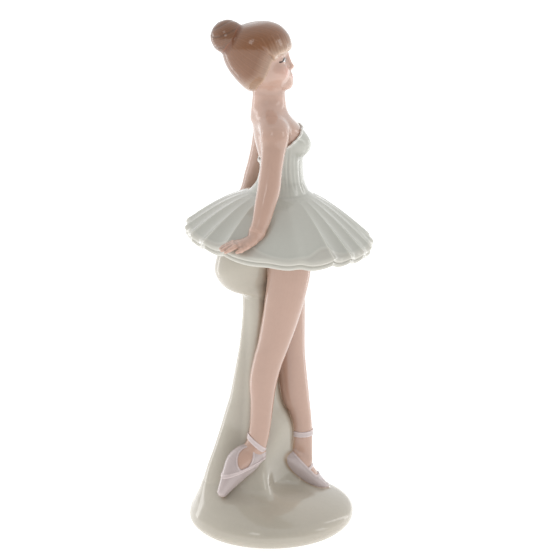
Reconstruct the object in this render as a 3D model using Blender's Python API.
"""Porcelain ballerina on a pebble mound, 200 mm tall.

The dancer faces +X, +Z is up, and the mound's flat underside lies on z = 0. Every number below is in
millimetres; shapes are made in metres. Each casting is its own closed body with a thin luting gap.
"""

import math

import bmesh
import bpy
from mathutils import Matrix, Vector

MM = 0.001
LUTE = 0.35  # gap between two castings luted together
WELD = 0.003  # points nearer than this are one
FLAT = 3.0  # faces that turn less than this many degrees are one

WAIST_R = 11.0  # where the skirt leaves the waist
RIM_R = 34.6  # mean radius of the hem
WAIST_Z = 134.2
SKIRT_WALL = 1.5
HEM_WALL = 2.3  # thickness of the underskirt at its rolled hem
MOUND_VENT_R = 4.0
TO_CENTRE = 0.133  # forward shift that puts x = 0 midway between the skirt's front and the mound's back
SHOE = 0.85  # the slipper's outside over the foot
RIBBON = 0.65
BODICE = 0.45  # the bodice's outside over the trunk
TRIM = 1.5  # the neckline edging's outside over the trunk

HEAD_AT = (-7.0, 0.0, 186.0)
HEAD_YAW = math.radians(-12)
HEAD_PITCH = math.radians(10)
HAIR = 1.3  # thickness of the combed hair over the skull
BUN_R = 6.4

SKIN = (0.66, 0.42, 0.33)
GOWN = (0.62, 0.63, 0.58)
STONE = (0.55, 0.52, 0.46)
BROWN = (0.30, 0.17, 0.10)
SATIN = (0.62, 0.55, 0.60)


# ---------------------------------------------------------------- helpers


def clear_scene():
    for old in list(bpy.data.objects):
        bpy.data.objects.remove(old, do_unlink=True)


def collection(name, hidden=False):
    made = bpy.data.collections.new(name)
    bpy.context.scene.collection.children.link(made)
    made.hide_render = hidden
    return made


def spline(rows, steps):
    """Catmull-Rom rows between the given rows, steps to each gap."""
    out = []
    last = len(rows) - 1
    for i in range(last):
        a, b, c, d = (rows[min(max(k, 0), last)] for k in (i - 1, i, i + 1, i + 2))
        for j in range(steps):
            t = j / steps
            row = []
            for p, q, r, s in zip(a, b, c, d):
                bend = 2 * p - 5 * q + 4 * r - s
                cube = 3 * q - p - 3 * r + s
                row.append(0.5 * (2 * q + (r - p) * t + bend * t * t + cube * t**3))
            out.append(row)
    out.append(list(rows[-1]))
    return out


def loft(name, rings, looped=False):
    """A skin over rings of equally many points. Each end is fanned shut, or the last ring meets the first."""
    bm = bmesh.new()
    loops = [[bm.verts.new(Vector(p) * MM) for p in ring] for ring in rings]
    pairs = list(zip(loops, loops[1:]))
    if looped:
        pairs.append((loops[-1], loops[0]))
    for low, high in pairs:
        for i in range(len(low)):
            k = (i + 1) % len(low)
            bm.faces.new((low[i], low[k], high[k], high[i]))
    if not looped:
        for loop in (loops[0], loops[-1]):
            centre = bm.verts.new(sum((v.co for v in loop), Vector()) / len(loop))
            for i in range(len(loop)):
                bm.faces.new((loop[i], loop[(i + 1) % len(loop)], centre))
    bmesh.ops.recalc_face_normals(bm, faces=bm.faces)
    return from_bmesh(name, bm)


def tidy(bm):
    """Flat faces only, and none thinner than a few thousandths of a millimetre."""
    bmesh.ops.remove_doubles(bm, verts=bm.verts, dist=WELD * MM)
    bmesh.ops.dissolve_degenerate(bm, edges=bm.edges, dist=WELD * MM)
    bmesh.ops.triangulate(bm, faces=bm.faces)


def from_bmesh(name, bm):
    tidy(bm)
    mesh = bpy.data.meshes.new(name)
    bm.to_mesh(mesh)
    bm.free()
    obj = bpy.data.objects.new(name, mesh)
    HELPERS.objects.link(obj)
    obj.display_type = "WIRE"
    obj.hide_render = True
    return obj


def limb(name, rows, steps=1, sides=18, dome=0.8):
    """A tube through rows of (x, y, z, half depth, half width), with domed ends."""
    rows = spline(rows, steps)
    middles = [Vector(row[:3]) for row in rows]
    along = []
    for i in range(len(rows)):
        step = middles[min(i + 1, len(rows) - 1)] - middles[max(i - 1, 0)]
        along.append(step.normalized())
    stations = list(zip(middles, along, [row[3:] for row in rows]))
    head, tail = stations[0], stations[-1]
    for way, end in ((-1, head), (1, tail)):
        for turn in (35, 65):
            shift = math.sin(math.radians(turn)) * dome * min(end[2])
            shrink = math.cos(math.radians(turn))
            station = (
                end[0] + end[1] * shift * way,
                end[1],
                [size * shrink for size in end[2]],
            )
            stations.insert(0, station) if way < 0 else stations.append(station)
    rings = []
    for middle, ahead, (depth, width) in stations:
        side = Vector((0, 1, 0))
        side = (side - ahead * side.dot(ahead)).normalized()
        fore = side.cross(ahead)
        ring = []
        for i in range(sides):
            a = 2 * math.pi * i / sides
            ring.append(middle + fore * depth * math.cos(a) + side * width * math.sin(a))
        rings.append(ring)
    return loft(name, rings)


def stack(name, rows, steps=1, sides=24, place=None):
    """Level sections (z, back x, front x, half width, middle y) skinned from the bottom up."""
    rings = []
    for z, back, front, half, mid_y in spline(rows, steps):
        mid = (back + front) / 2
        ring = []
        for i in range(sides):
            a = 2 * math.pi * i / sides
            point = Vector((mid + (front - mid) * math.cos(a), mid_y + half * math.sin(a), z))
            ring.append(place @ point if place else point)
        rings.append(ring)
    return loft(name, rings)


def ball(name, centre, radii, turn=None, around=14):
    bm = bmesh.new()
    bmesh.ops.create_uvsphere(bm, u_segments=around, v_segments=around // 2 + 1, radius=1.0)
    size = Matrix.Diagonal((*(r * MM for r in radii), 1.0))
    place = Matrix.Translation(Vector(centre) * MM) @ (turn or Matrix.Identity(4)) @ size
    bmesh.ops.transform(bm, matrix=place, verts=bm.verts)
    return from_bmesh(name, bm)


def box(name, centre, sides, turn=None):
    bm = bmesh.new()
    bmesh.ops.create_cube(bm, size=1.0)
    size = Matrix.Diagonal((*(s * MM for s in sides), 1.0))
    place = Matrix.Translation(Vector(centre) * MM) @ (turn or Matrix.Identity(4)) @ size
    bmesh.ops.transform(bm, matrix=place, verts=bm.verts)
    return from_bmesh(name, bm)


def prism(name, outline, half, place):
    """A side-view outline of (forward, up) points, extruded half each way in y, then placed."""
    rings = [[place @ Vector((x, y, z)) for x, z in outline] for y in (-half, half)]
    return loft(name, rings)


def between(name, low, high, reach=15, cells=10):
    """The block of space over a square patch between two height functions of (x, y)."""
    bm = bmesh.new()
    steps = [reach * (2 * i / cells - 1) for i in range(cells + 1)]
    layers = []
    for height in (low, high):
        layers.append([[bm.verts.new(Vector((x, y, height(x, y))) * MM) for y in steps] for x in steps])
    for layer in layers:
        for i in range(cells):
            for j in range(cells):
                bm.faces.new((layer[i][j], layer[i + 1][j], layer[i + 1][j + 1], layer[i][j + 1]))
    edge = [(i, 0) for i in range(cells)] + [(cells, j) for j in range(cells)]
    edge += [(i, cells) for i in range(cells, 0, -1)] + [(0, j) for j in range(cells, 0, -1)]
    for (i, j), (k, m) in zip(edge, edge[1:] + edge[:1]):
        bm.faces.new((layers[0][i][j], layers[0][k][m], layers[1][k][m], layers[1][i][j]))
    bmesh.ops.recalc_face_normals(bm, faces=bm.faces)
    return from_bmesh(name, bm)


def grown(obj, gap):
    """A copy with every point moved out along its normal."""
    mesh = obj.data.copy()
    moved = [v.co + v.normal * gap * MM for v in mesh.vertices]
    for v, co in zip(mesh.vertices, moved):
        v.co = co
    copy = bpy.data.objects.new(obj.name + "_grown", mesh)
    HELPERS.objects.link(copy)
    copy.display_type = "WIRE"
    copy.hide_render = True
    return copy


def boolean(part, other, operation="DIFFERENCE", keep=False):
    step = part.modifiers.new(operation.lower(), "BOOLEAN")
    step.operation = operation
    step.solver = "EXACT"
    step.object = other
    graph = bpy.context.evaluated_depsgraph_get()
    mesh = bpy.data.meshes.new_from_object(part.evaluated_get(graph))
    part.modifiers.clear()
    bm = bmesh.new()
    bm.from_mesh(mesh)
    tidy(bm)
    bm.to_mesh(mesh)
    bm.free()
    part.data = mesh
    if not keep:
        bpy.data.objects.remove(other, do_unlink=True)
    return part


def seat(part, *forms, gap=LUTE):
    """Cuts part back so that each neighbour, given as its plain form, sits in it with a gap."""
    for form in forms:
        boolean(part, grown(form, gap))
    return part


def joined(first, *others):
    body = grown(first, 0.0)
    for form in others:
        boolean(body, form, "UNION", keep=True)
    return body


def glaze(name, colour, roughness=0.12):
    made = bpy.data.materials.new(name)
    made.use_nodes = True
    shader = made.node_tree.nodes["Principled BSDF"]
    shader.inputs["Base Color"].default_value = (*colour, 1.0)
    shader.inputs["Roughness"].default_value = roughness
    shader.inputs["Coat Weight"].default_value = 0.6
    return made


def drop_crumbs(obj):
    """Removes the loose chips a close fit can leave, keeping the one real body."""
    bm = bmesh.new()
    bm.from_mesh(obj.data)
    left = set(bm.verts)
    pieces = []
    while left:
        piece, rim = set(), [left.pop()]
        while rim:
            vert = rim.pop()
            piece.add(vert)
            near = {edge.other_vert(vert) for edge in vert.link_edges} & left
            left -= near
            rim.extend(near)
        pieces.append(piece)
    pieces.sort(key=len)
    for piece in pieces[:-1]:
        bmesh.ops.delete(bm, geom=list(piece), context="VERTS")
    bmesh.ops.dissolve_limit(bm, angle_limit=math.radians(FLAT), verts=bm.verts, edges=bm.edges)
    tidy(bm)
    bm.to_mesh(obj.data)
    bm.free()


def finish(obj, name, colour, roughness=0.12):
    """Turns a working body into a named part of the figurine."""
    drop_crumbs(obj)
    obj.name = name
    obj.data.name = name
    obj.data.transform(Matrix.Translation((TO_CENTRE * MM, 0, 0)))
    obj.data.materials.clear()
    obj.data.materials.append(glaze(name + "_glaze", colour, roughness))
    obj.data.shade_smooth()
    HELPERS.objects.unlink(obj)
    FIGURINE.objects.link(obj)
    obj.display_type = "TEXTURED"
    obj.hide_render = False
    return obj


# ---------------------------------------------------------------- foot of the figurine


def mound_form():
    """A rounded pebble, higher towards the column and falling away in front."""
    rows = [
        (0.0, -30.3, 24.0, 25.4, 0),
        (0.9, -33.0, 26.7, 28.4, 0),
        (3.4, -35.2, 28.9, 30.7, 0),
        (6.2, -35.0, 28.9, 31.0, 0),
        (8.2, -34.2, 26.8, 29.8, 0),
        (9.8, -33.4, 22.5, 27.6, 0),
        (11.4, -32.6, 16.5, 24.6, 0),
        (13.2, -31.4, 8.5, 20.6, 0),
        (15.0, -30.2, 0.5, 16.4, 0),
        (16.6, -28.8, -7.5, 11.0, 0),
        (17.5, -26.5, -13.0, 6.0, 0),
    ]
    return stack("mound_form", rows, sides=36)


def mound_vent():
    """The blind vent hole in the unglazed underside."""
    bm = bmesh.new()
    bmesh.ops.create_cone(
        bm, cap_ends=True, segments=24, radius1=MOUND_VENT_R * MM, radius2=MOUND_VENT_R * MM, depth=16 * MM
    )
    bmesh.ops.translate(bm, vec=Vector((-3, 0, 0)) * MM, verts=bm.verts)
    return from_bmesh("mound_vent", bm)


def column_form():
    """A hanging drape: slim under the skirt, flaring into the mound behind the heels."""
    rows = [
        (12.5, -31.0, 13.0, 15.5, 0.6),
        (17.0, -30.2, 9.6, 13.0, 1.2),
        (20.0, -29.3, 8.2, 11.8, 1.8),
        (25.0, -27.7, 7.2, 10.0, 2.8),
        (31.5, -25.3, 6.6, 8.8, 3.8),
        (39.4, -22.7, 5.6, 7.9, 4.5),
        (43.5, -21.5, 4.2, 7.6, 4.7),
        (47.5, -20.3, 2.2, 7.4, 4.8),
        (51.5, -19.1, 1.0, 7.2, 4.8),
        (60.3, -17.4, -0.2, 7.0, 4.7),
        (67.2, -16.1, -0.8, 6.9, 4.5),
        (73.4, -15.0, -1.4, 6.8, 4.2),
        (84.3, -13.8, -2.5, 7.0, 3.6),
        (92.0, -13.7, -3.0, 7.0, 3.5),
        (98.0, -14.6, -3.0, 7.0, 3.5),
    ]
    return stack("column_form", rows)


def capital_form():
    """The drape's rolled-over head, which carries the skirt."""
    rows = [
        (94.6, -15.0, -3.4, 6.2, 3.5),
        (95.3, -18.4, -3.1, 7.6, 3.6),
        (97.0, -21.2, -2.8, 8.5, 3.8),
        (100.0, -23.4, -2.2, 9.6, 3.8),
        (103.6, -24.3, -2.0, 10.8, 3.6),
        (107.6, -23.7, -2.0, 11.3, 3.2),
        (113.0, -22.4, -2.4, 10.8, 3.0),
        (119.0, -20.8, -3.0, 9.8, 3.0),
        (128.0, -18.0, -4.0, 8.6, 3.0),
    ]
    return stack("capital_form", rows)


# ---------------------------------------------------------------- legs and feet


def right_shank_form():
    rows = [
        (3.9, -6.0, 116.0, 7.0, 6.0),
        (3.2, -6.9, 106.3, 8.1, 6.6),
        (1.8, -6.7, 96.8, 7.7, 6.2),
        (-0.5, -6.5, 85.6, 6.8, 5.8),
        (-3.2, -6.4, 75.2, 5.9, 5.4),
        (-5.1, -6.4, 69.2, 5.6, 5.2),
        (-6.9, -6.5, 61.2, 5.3, 5.1),
        (-7.4, -6.7, 52.7, 4.5, 4.5),
        (-8.1, -6.9, 43.7, 4.1, 3.9),
        (-9.2, -7.1, 37.4, 4.0, 3.8),
        (-10.2, -7.3, 34.4, 3.9, 3.7),
    ]
    return limb("right_shank_form", rows)


def right_foot_form():
    """Drawn back and pointed, the toe set down beside the column."""
    rows = [
        (-8.9, -7.1, 32.2, 3.1, 3.2),
        (-11.9, -7.7, 31.2, 4.9, 4.0),
        (-15.9, -9.0, 28.9, 5.4, 4.1),
        (-18.9, -10.3, 25.2, 4.1, 3.6),
        (-21.6, -11.5, 21.4, 2.6, 2.7),
        (-23.6, -12.3, 18.3, 1.5, 1.8),
    ]
    return limb("right_foot_form", rows, steps=2, sides=14)


def left_shank_form():
    rows = [
        (3.9, 6.0, 116.0, 7.0, 6.0),
        (3.3, 6.9, 106.0, 7.9, 6.6),
        (3.4, 6.6, 97.0, 7.7, 6.3),
        (3.7, 6.4, 90.0, 7.3, 6.1),
        (4.4, 6.2, 81.1, 6.5, 5.8),
        (5.0, 5.9, 69.0, 5.9, 5.5),
        (5.7, 5.6, 60.9, 5.8, 5.5),
        (6.4, 5.3, 54.5, 5.7, 5.3),
        (7.2, 5.2, 50.0, 5.4, 5.0),
        (8.4, 5.1, 46.0, 4.6, 4.6),
        (9.3, 5.0, 41.5, 4.1, 4.1),
        (9.7, 5.0, 35.5, 4.1, 4.0),
        (9.6, 5.0, 31.0, 4.3, 3.6),
        (9.7, 5.1, 27.0, 4.2, 3.0),
        (10.2, 5.3, 23.0, 3.8, 2.7),
    ]
    return limb("left_shank_form", rows)


def left_foot_form():
    """Heel raised, the ball and toes resting on the mound."""
    rows = [
        (3.4, 4.4, 26.0, 2.2, 2.5),
        (5.4, 4.6, 24.6, 3.4, 3.4),
        (8.6, 5.1, 21.4, 3.9, 3.8),
        (12.2, 5.9, 17.0, 3.5, 3.7),
        (15.2, 6.6, 13.5, 2.7, 3.3),
        (17.8, 7.2, 11.4, 1.9, 2.7),
        (19.4, 7.6, 10.7, 1.2, 1.9),
    ]
    return limb("left_foot_form", rows, steps=2, sides=14)


def slipper(foot, shank, opening):
    """A thin shoe over the foot, open over the instep."""
    shoe = grown(foot, SHOE)
    boolean(shoe, opening)
    return seat(shoe, shank, foot, gap=0.3)


def ribbon(core, beside, slab, inner):
    """A band round a leg or foot where a slab crosses it."""
    band = grown(core, inner + RIBBON)
    boolean(band, slab, "INTERSECT")
    seat(band, core, gap=inner)
    return seat(band, beside, gap=0.3)


def briefs_form():
    rows = [
        (102.6, 0.0, 6.0, 4.0, 0),
        (104.0, -2.4, 9.0, 7.6, 0),
        (107.5, -5.0, 11.2, 11.4, 0),
        (112.0, -7.4, 12.4, 13.8, 0),
        (117.0, -8.6, 12.4, 14.2, 0),
        (122.0, -9.2, 11.0, 12.6, 0),
        (126.5, -8.8, 9.6, 10.6, 0),
        (130.2, -7.6, 8.4, 8.6, 0),
    ]
    return stack("briefs_form", rows)


# ---------------------------------------------------------------- tutu

MEETING = (0.1, 0.4, 0.7, 0.92)  # where the two layers' facing sides are shaped alike
PLEATS = [-63 + 14 * k for k in range(10)] + [132 + 16 * k for k in range(7)]


def bearings():
    """Bearings of the skirt's lengthwise lines: every ridge, and even steps across each panel."""
    marks = sorted(p % 360 for p in PLEATS)
    out = []
    for low, high in zip(marks, marks[1:] + [marks[0] + 360]):
        cells = 4 if high - low < 30 else 9
        out += [low + (high - low) * i / cells for i in range(cells)]
    return out


def pleat(angle):
    """(how near a ridge this bearing is, whether its panel is a wide one), for a bearing in degrees."""
    marks = sorted(p % 360 for p in PLEATS)
    marks = marks + [marks[0] + 360]
    angle = angle % 360
    if angle < marks[0]:
        angle += 360
    for low, high in zip(marks, marks[1:]):
        if low <= angle <= high:
            t = (angle - low) / (high - low)
            wide = high - low > 30
            return abs(2 * t - 1) ** (5 if wide else 2), wide
    return 1.0, False


def skirt_point(angle, s, lower=0.0, inset=0.0):
    """A point s of the way from waist to hem, lowered and drawn in by the given amounts."""
    bearing = math.radians(angle)
    ridge, wide = pleat(angle)
    reach = RIM_R + 1.1 * ridge * s - inset
    r = WAIST_R + (reach - WAIST_R) * s
    drop = 15.4 + 3.0 * math.cos(bearing)
    fall = drop * s ** (1.4 - 0.08 * math.cos(bearing))
    valley = (1.0 - ridge) * (2.1 if wide else 1.2) * s**1.3
    z = WAIST_Z - 0.35 * math.cos(bearing) - fall - valley - lower
    return (r * math.cos(bearing), r * math.sin(bearing), z)


def skirt_ring(s, lower=0.0, inset=0.0):
    return [skirt_point(angle, s, lower, inset) for angle in bearings()]


def tutu_top_form():
    """The upper layer: pleated over, smooth beneath, with a rounded edge."""
    over = [(0.1, 0.0), (0.3, 0.0), (0.55, 0.0), (0.8, 0.0), (0.95, 0.05)]
    rings = [skirt_ring(s, low) for s, low in over]
    rings.append(skirt_ring(1.0, 0.35, 0.1))
    rings.append(skirt_ring(1.0, SKIRT_WALL - 0.35, 0.3))
    rings += [skirt_ring(s, SKIRT_WALL) for s in reversed(MEETING)]
    inner = 7.2 / WAIST_R
    for top in (rings[-1], rings[0]):
        rings.append([(x * inner, y * inner, z) for x, y, z in skirt_hub(top)])
    return loft("tutu_top_form", rings, looped=True)


def skirt_hub(ring):
    """The ring drawn in to the waist radius at its own mean height."""
    level = sum(p[2] for p in ring) / len(ring)
    out = []
    for x, y, _ in ring:
        r = math.hypot(x, y)
        out.append((x / r * WAIST_R, y / r * WAIST_R, level))
    return out


def tutu_under_form():
    """The lower layer, whose thick rolled edge shows below the upper one as a pale hem."""
    start = SKIRT_WALL + 0.35
    end = start + HEM_WALL
    rings = [skirt_ring(s, start) for s in MEETING]
    rings.append(skirt_ring(0.985, start + 0.25, 0.4))
    rings.append(skirt_ring(1.0, start + 1.0, 0.9))
    rings.append(skirt_ring(0.99, end - 0.3, 1.2))
    for s, low in ((0.93, end), (0.6, start + 1.6), (0.1, start + 1.3)):
        rings.append(skirt_ring(s, low))
    inner = 7.0 / WAIST_R
    for top in (rings[-1], rings[0]):
        rings.append([(x * inner, y * inner, z) for x, y, z in skirt_hub(top)])
    return loft("tutu_under_form", rings, looped=True)


# ---------------------------------------------------------------- trunk


def trunk_form():
    rows = [
        (130.8, -9.6, 10.2, 10.0, 0),
        (134.0, -9.4, 10.0, 9.8, 0),
        (138.4, -7.9, 9.2, 8.7, 0),
        (144.2, -6.7, 8.6, 8.0, 0),
        (149.4, -7.9, 8.8, 8.8, 0),
        (153.2, -8.8, 10.5, 9.8, 0),
        (157.0, -9.5, 9.4, 10.8, 0),
        (160.0, -9.7, 7.4, 11.8, 0),
        (162.6, -9.6, 5.0, 11.4, 0),
        (164.6, -9.4, 3.2, 9.0, 0),
        (167.0, -9.2, 1.8, 6.2, 0),
    ]
    return stack("trunk_form", rows, sides=28)


def neckline(x, y):
    """Height of the bodice's top edge: sweetheart in front, lower behind."""
    front = max(0.0, min(1.0, (x - 2) / 5))
    cups = math.exp(-(((abs(y) - 4.6) / 2.4) ** 2))
    return 154.9 + 0.42 * x + 1.2 * front * cups


def neck_form():
    rows = [
        (-4.3, 0, 162.6, 5.9, 5.7),
        (-3.9, 0, 166.8, 5.8, 5.6),
        (-3.8, 0, 171.0, 5.5, 5.4),
        (-4.2, 0, 176.8, 5.3, 5.2),
    ]
    return limb("neck_form", rows, dome=0.3)


def arm_form(side):
    """side is -1 for the right arm and 1 for the left, which is carried a little further forward."""
    rows = [
        (-3.0, 10.8, 161.0, 4.3, 4.0),
        (-3.2, 13.2, 159.2, 4.7, 4.4),
        (-3.8, 14.8, 154.6, 4.5, 4.3),
        (-5.0, 17.3, 147.5, 4.1, 4.0),
        (-6.2, 19.7, 140.5, 4.25, 4.0),
        (-7.8, 21.9, 135.4, 3.9, 3.7),
        (-9.4, 24.0, 130.2, 3.4, 3.3),
        (-11.1, 25.7, 126.4, 2.9, 2.9),
    ]
    shift = 0.0 if side < 0 else 0.14
    rows = [(x + shift * (160 - z) / 4, side * y, z, d, w) for x, y, z, d, w in rows]
    return limb("arm_form", rows, sides=16, dome=0.5)


def hand_form(side):
    """A relaxed hand lying back along the hem, four fingers together and the thumb beside them."""
    shift = 0.0 if side < 0 else 1.1

    def at(x, y, z, depth, width):
        return (x + shift, side * y, z, depth, width)

    palm = [
        at(-11.6, 26.2, 125.2, 2.5, 2.6),
        at(-13.4, 26.9, 123.6, 2.1, 3.0),
        at(-15.6, 27.3, 122.9, 1.7, 3.2),
        at(-18.0, 27.6, 122.5, 1.4, 3.1),
    ]
    hand = limb("hand_form", palm, sides=14)
    for k, (length, drop) in enumerate(((6.1, 1.1), (6.8, 1.2), (6.5, 1.4), (5.2, 1.6))):
        y = 25.4 + 1.45 * k
        rows = [
            at(-16.9, y, 122.5 - 0.12 * k, 0.95, 0.95),
            at(-18.0 - length * 0.35, y + 0.2, 122.4 - 0.15 * k, 0.9, 0.9),
            at(-18.0 - length * 0.7, y + 0.35, 122.1 - 0.2 * k - drop * 0.3, 0.8, 0.8),
            at(-18.0 - length, y + 0.4, 121.8 - 0.2 * k - drop * 0.6, 0.62, 0.62),
        ]
        boolean(hand, limb("finger_form", rows, sides=8), "UNION")
    rows = [
        at(-12.8, 28.3, 123.4, 1.2, 1.2),
        at(-15.2, 30.2, 122.3, 1.1, 1.1),
        at(-17.6, 31.3, 121.2, 0.9, 0.9),
        at(-19.2, 31.6, 120.6, 0.7, 0.7),
    ]
    return boolean(hand, limb("thumb_form", rows, sides=8), "UNION")


# ---------------------------------------------------------------- head

HEAD_PLACE = (
    Matrix.Translation(HEAD_AT) @ Matrix.Rotation(HEAD_YAW, 4, "Z") @ Matrix.Rotation(-HEAD_PITCH, 4, "Y")
)


def skull_form():
    """An egg-shaped head, wider behind, without the face's features."""
    rows = [
        (-13.2, -0.5, 7.6, 2.6, 0),
        (-12.3, -3.6, 9.2, 4.4, 0),
        (-9.6, -6.8, 9.9, 6.6, 0),
        (-6.0, -9.3, 10.1, 8.2, 0),
        (-2.0, -11.3, 10.3, 9.3, 0),
        (2.0, -12.2, 10.8, 9.9, 0),
        (6.0, -11.7, 10.3, 9.7, 0),
        (9.0, -9.4, 8.4, 8.2, 0),
        (10.8, -6.3, 5.2, 5.6, 0),
        (11.4, -3.0, 2.0, 2.6, 0),
    ]
    return stack("skull_form", rows, steps=2, sides=24, place=HEAD_PLACE)


def head_body(skull, nape):
    """The head with a plain small nose and chin, socketed for the neck."""
    turn = HEAD_PLACE.to_3x3().to_4x4()
    nose = ball("nose_form", HEAD_PLACE @ Vector((9.9, 0, -5.6)), (1.5, 0.95, 1.9), turn)
    chin = ball("chin_form", HEAD_PLACE @ Vector((7.7, 0, -11.2)), (2.3, 2.6, 2.0), turn)
    head = joined(skull, nose, chin)
    return seat(head, nape)


def hair_cap_form(skull, nape):
    """Hair combed back over the ears, open over the face."""
    face = [(15, 1.6), (8.6, 1.9), (5.6, -0.6), (3.2, -4.6), (1.2, -8.2), (-1.4, -11.4), (-2, -18), (15, -18)]
    cap = grown(skull, HAIR)
    boolean(cap, prism("face_window", face, 15, HEAD_PLACE))
    return seat(cap, skull, nape, gap=0.3)


def fringe_form(skull):
    """The swept fringe, standing a little proud of the combed hair."""
    patch = [(-1.5, 16), (15, 16), (15, 0.2), (9.4, 0.4), (6.0, -1.2), (4.6, 1.6), (2.6, 6.0), (-0.6, 10.2)]
    fringe = grown(skull, HAIR + 1.0)
    boolean(fringe, prism("fringe_patch", patch, 15, HEAD_PLACE), "INTERSECT")
    return seat(fringe, skull, gap=HAIR + 0.3)


def bun_form():
    turn = Matrix.Rotation(math.radians(35), 4, "Y")
    return ball("bun_form", (-18.9, 0.3, 193.6), (BUN_R, BUN_R, BUN_R * 0.97), turn, 22)


# ---------------------------------------------------------------- assembly


def build_lower_half(forms):
    mound = forms["mound"]
    column = forms["column"]
    window = Matrix.Rotation(math.radians(18), 4, "Y")
    cut_line = Matrix.Rotation(math.radians(50.2), 4, "Y")
    level = Matrix.Identity(4)
    parts = {}
    parts["base_mound"] = boolean(joined(mound), mound_vent())
    for side in ("right", "left"):
        shank, foot = forms[side + "_shank"], forms[side + "_foot"]
        parts[side + "_leg"] = seat(joined(shank, foot), mound)
        if side == "right":
            opening = ball("instep_right", (-14.4, -13.0, 32.8), (2.9, 3.7, 5.3), window)
            tilt = Matrix.Rotation(math.radians(42), 4, "Y")
            ankle = box("ankle_slab", (-10.2, -7.1, 36.8), (18, 14, 2.0), tilt)
            lean = Matrix.Rotation(math.radians(-17), 4, "Y")
            instep = box("instep_slab", (-14.6, -9.0, 27.6), (24, 16, 1.4), lean)
        else:
            opening = box("instep_left", (13.8, 6.0, 31.2), (24.7, 16, 16), cut_line)
            ankle = box("ankle_slab", (9.6, 5.0, 35.3), (16, 16, 2.3), level)
            rise = Matrix.Rotation(math.radians(-30), 4, "Y")
            instep = box("instep_slab", (12.6, 5.9, 20.6), (20, 16, 1.3), rise)
        if side == "left":
            strap_zone = box("strap_zone", (17.7, 6.0, 27.0), (34, 16, 16), cut_line)
            boolean(instep, strap_zone, "INTERSECT")
        shoe = slipper(foot, shank, opening)
        parts[side + "_slipper"] = seat(shoe, mound)
        ankle = ribbon(shank, foot, ankle, 0.3)
        instep = ribbon(foot, shank, instep, 0.3 if side == "left" else SHOE + 0.3)
        seat(ankle, foot, gap=SHOE + 0.3)
        for band, name in ((ankle, "_ankle_ribbon"), (instep, "_instep_ribbon")):
            parts[side + name] = seat(band, mound, column)

    drape = seat(joined(column), mound)
    boolean(drape, ball("heel_hollow", (9.0, -10.0, 24.0), (14.0, 13.5, 17.0), level))
    for side in ("right", "left"):
        seat(drape, forms[side + "_shank"])
        seat(drape, forms[side + "_foot"], gap=SHOE + LUTE)
    parts["support_column"] = drape
    cap = seat(joined(forms["capital"]), column, forms["right_shank"], forms["left_shank"])
    parts["column_capital"] = seat(cap, forms["under"], forms["briefs"])
    return parts


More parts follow.
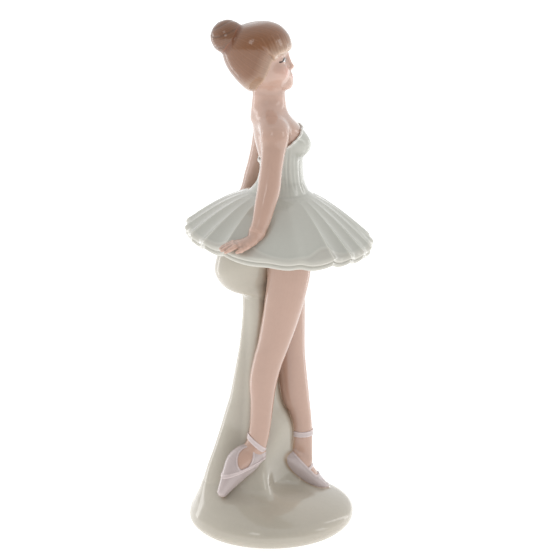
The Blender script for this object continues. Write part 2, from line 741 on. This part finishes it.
def build_trunk(forms):
    trunk = forms["trunk"]
    neck = forms["neck"]

    def ceiling(x, y):
        return 200.0

    def shifted(by):
        return lambda x, y: neckline(x, y) + by

    parts = {}
    parts["bodice"] = boolean(grown(trunk, BODICE), between("above", neckline, ceiling))
    chest = boolean(joined(trunk), between("below", shifted(LUTE), ceiling), "INTERSECT")
    parts["upper_torso"] = seat(chest, neck)
    trim = boolean(grown(trunk, TRIM), between("edging", shifted(-1.1), shifted(0.5)), "INTERSECT")
    parts["bodice_trim"] = seat(trim, trunk, gap=BODICE + LUTE)
    parts["neck"] = joined(neck)

    briefs = seat(joined(forms["briefs"]), forms["right_shank"], forms["left_shank"], gap=0.45)
    parts["briefs"] = seat(briefs, trunk, gap=BODICE + LUTE)
    parts["tutu_skirt"] = seat(joined(forms["skirt"]), trunk, gap=BODICE + LUTE)
    under = seat(joined(forms["under"]), forms["briefs"])
    parts["tutu_underskirt"] = seat(under, trunk, gap=BODICE + LUTE)

    for side, name in ((-1, "right"), (1, "left")):
        limb_form = arm_form(side)
        arm = seat(joined(limb_form), trunk, forms["skirt"])
        clear = boolean(grown(trunk, BODICE + LUTE), between("above", shifted(LUTE), ceiling))
        boolean(arm, clear)
        ring = grown(trunk, TRIM + LUTE)
        boolean(ring, between("edging", shifted(-1.1 - LUTE), shifted(0.5 + LUTE)), "INTERSECT")
        parts[name + "_arm"] = boolean(arm, ring)
        parts[name + "_hand"] = seat(hand_form(side), limb_form, forms["skirt"], forms["under"])
        bpy.data.objects.remove(limb_form, do_unlink=True)
    return parts


def build_head(forms):
    skull, nape = forms["skull"], forms["neck"]
    parts = {}
    parts["head"] = head_body(skull, nape)
    parts["hair_cap"] = hair_cap_form(skull, nape)
    parts["hair_fringe"] = fringe_form(skull)
    parts["hair_bun"] = seat(bun_form(), skull, gap=HAIR + LUTE)
    return parts


COLOURS = {
    "base_mound": STONE,
    "support_column": STONE,
    "column_capital": STONE,
    "right_leg": SKIN,
    "left_leg": SKIN,
    "right_slipper": SATIN,
    "left_slipper": SATIN,
    "right_ankle_ribbon": SATIN,
    "left_ankle_ribbon": SATIN,
    "right_instep_ribbon": SATIN,
    "left_instep_ribbon": SATIN,
    "briefs": GOWN,
    "tutu_skirt": GOWN,
    "tutu_underskirt": GOWN,
    "bodice": GOWN,
    "bodice_trim": GOWN,
    "upper_torso": SKIN,
    "neck": SKIN,
    "right_arm": SKIN,
    "left_arm": SKIN,
    "right_hand": SKIN,
    "left_hand": SKIN,
    "head": SKIN,
    "hair_cap": BROWN,
    "hair_fringe": BROWN,
    "hair_bun": BROWN,
}


clear_scene()
FIGURINE = collection("porcelain_ballerina")
HELPERS = collection("working_forms", hidden=True)
FORMS = {
    "mound": mound_form(),
    "column": column_form(),
    "capital": capital_form(),
    "right_shank": right_shank_form(),
    "right_foot": right_foot_form(),
    "left_shank": left_shank_form(),
    "left_foot": left_foot_form(),
    "briefs": briefs_form(),
    "skirt": tutu_top_form(),
    "under": tutu_under_form(),
    "trunk": trunk_form(),
    "neck": neck_form(),
    "skull": skull_form(),
}
for build in (build_lower_half, build_trunk, build_head):
    for part_name, body in build(FORMS).items():
        finish(body, part_name, COLOURS[part_name])
for spare in list(HELPERS.objects):
    bpy.data.objects.remove(spare, do_unlink=True)
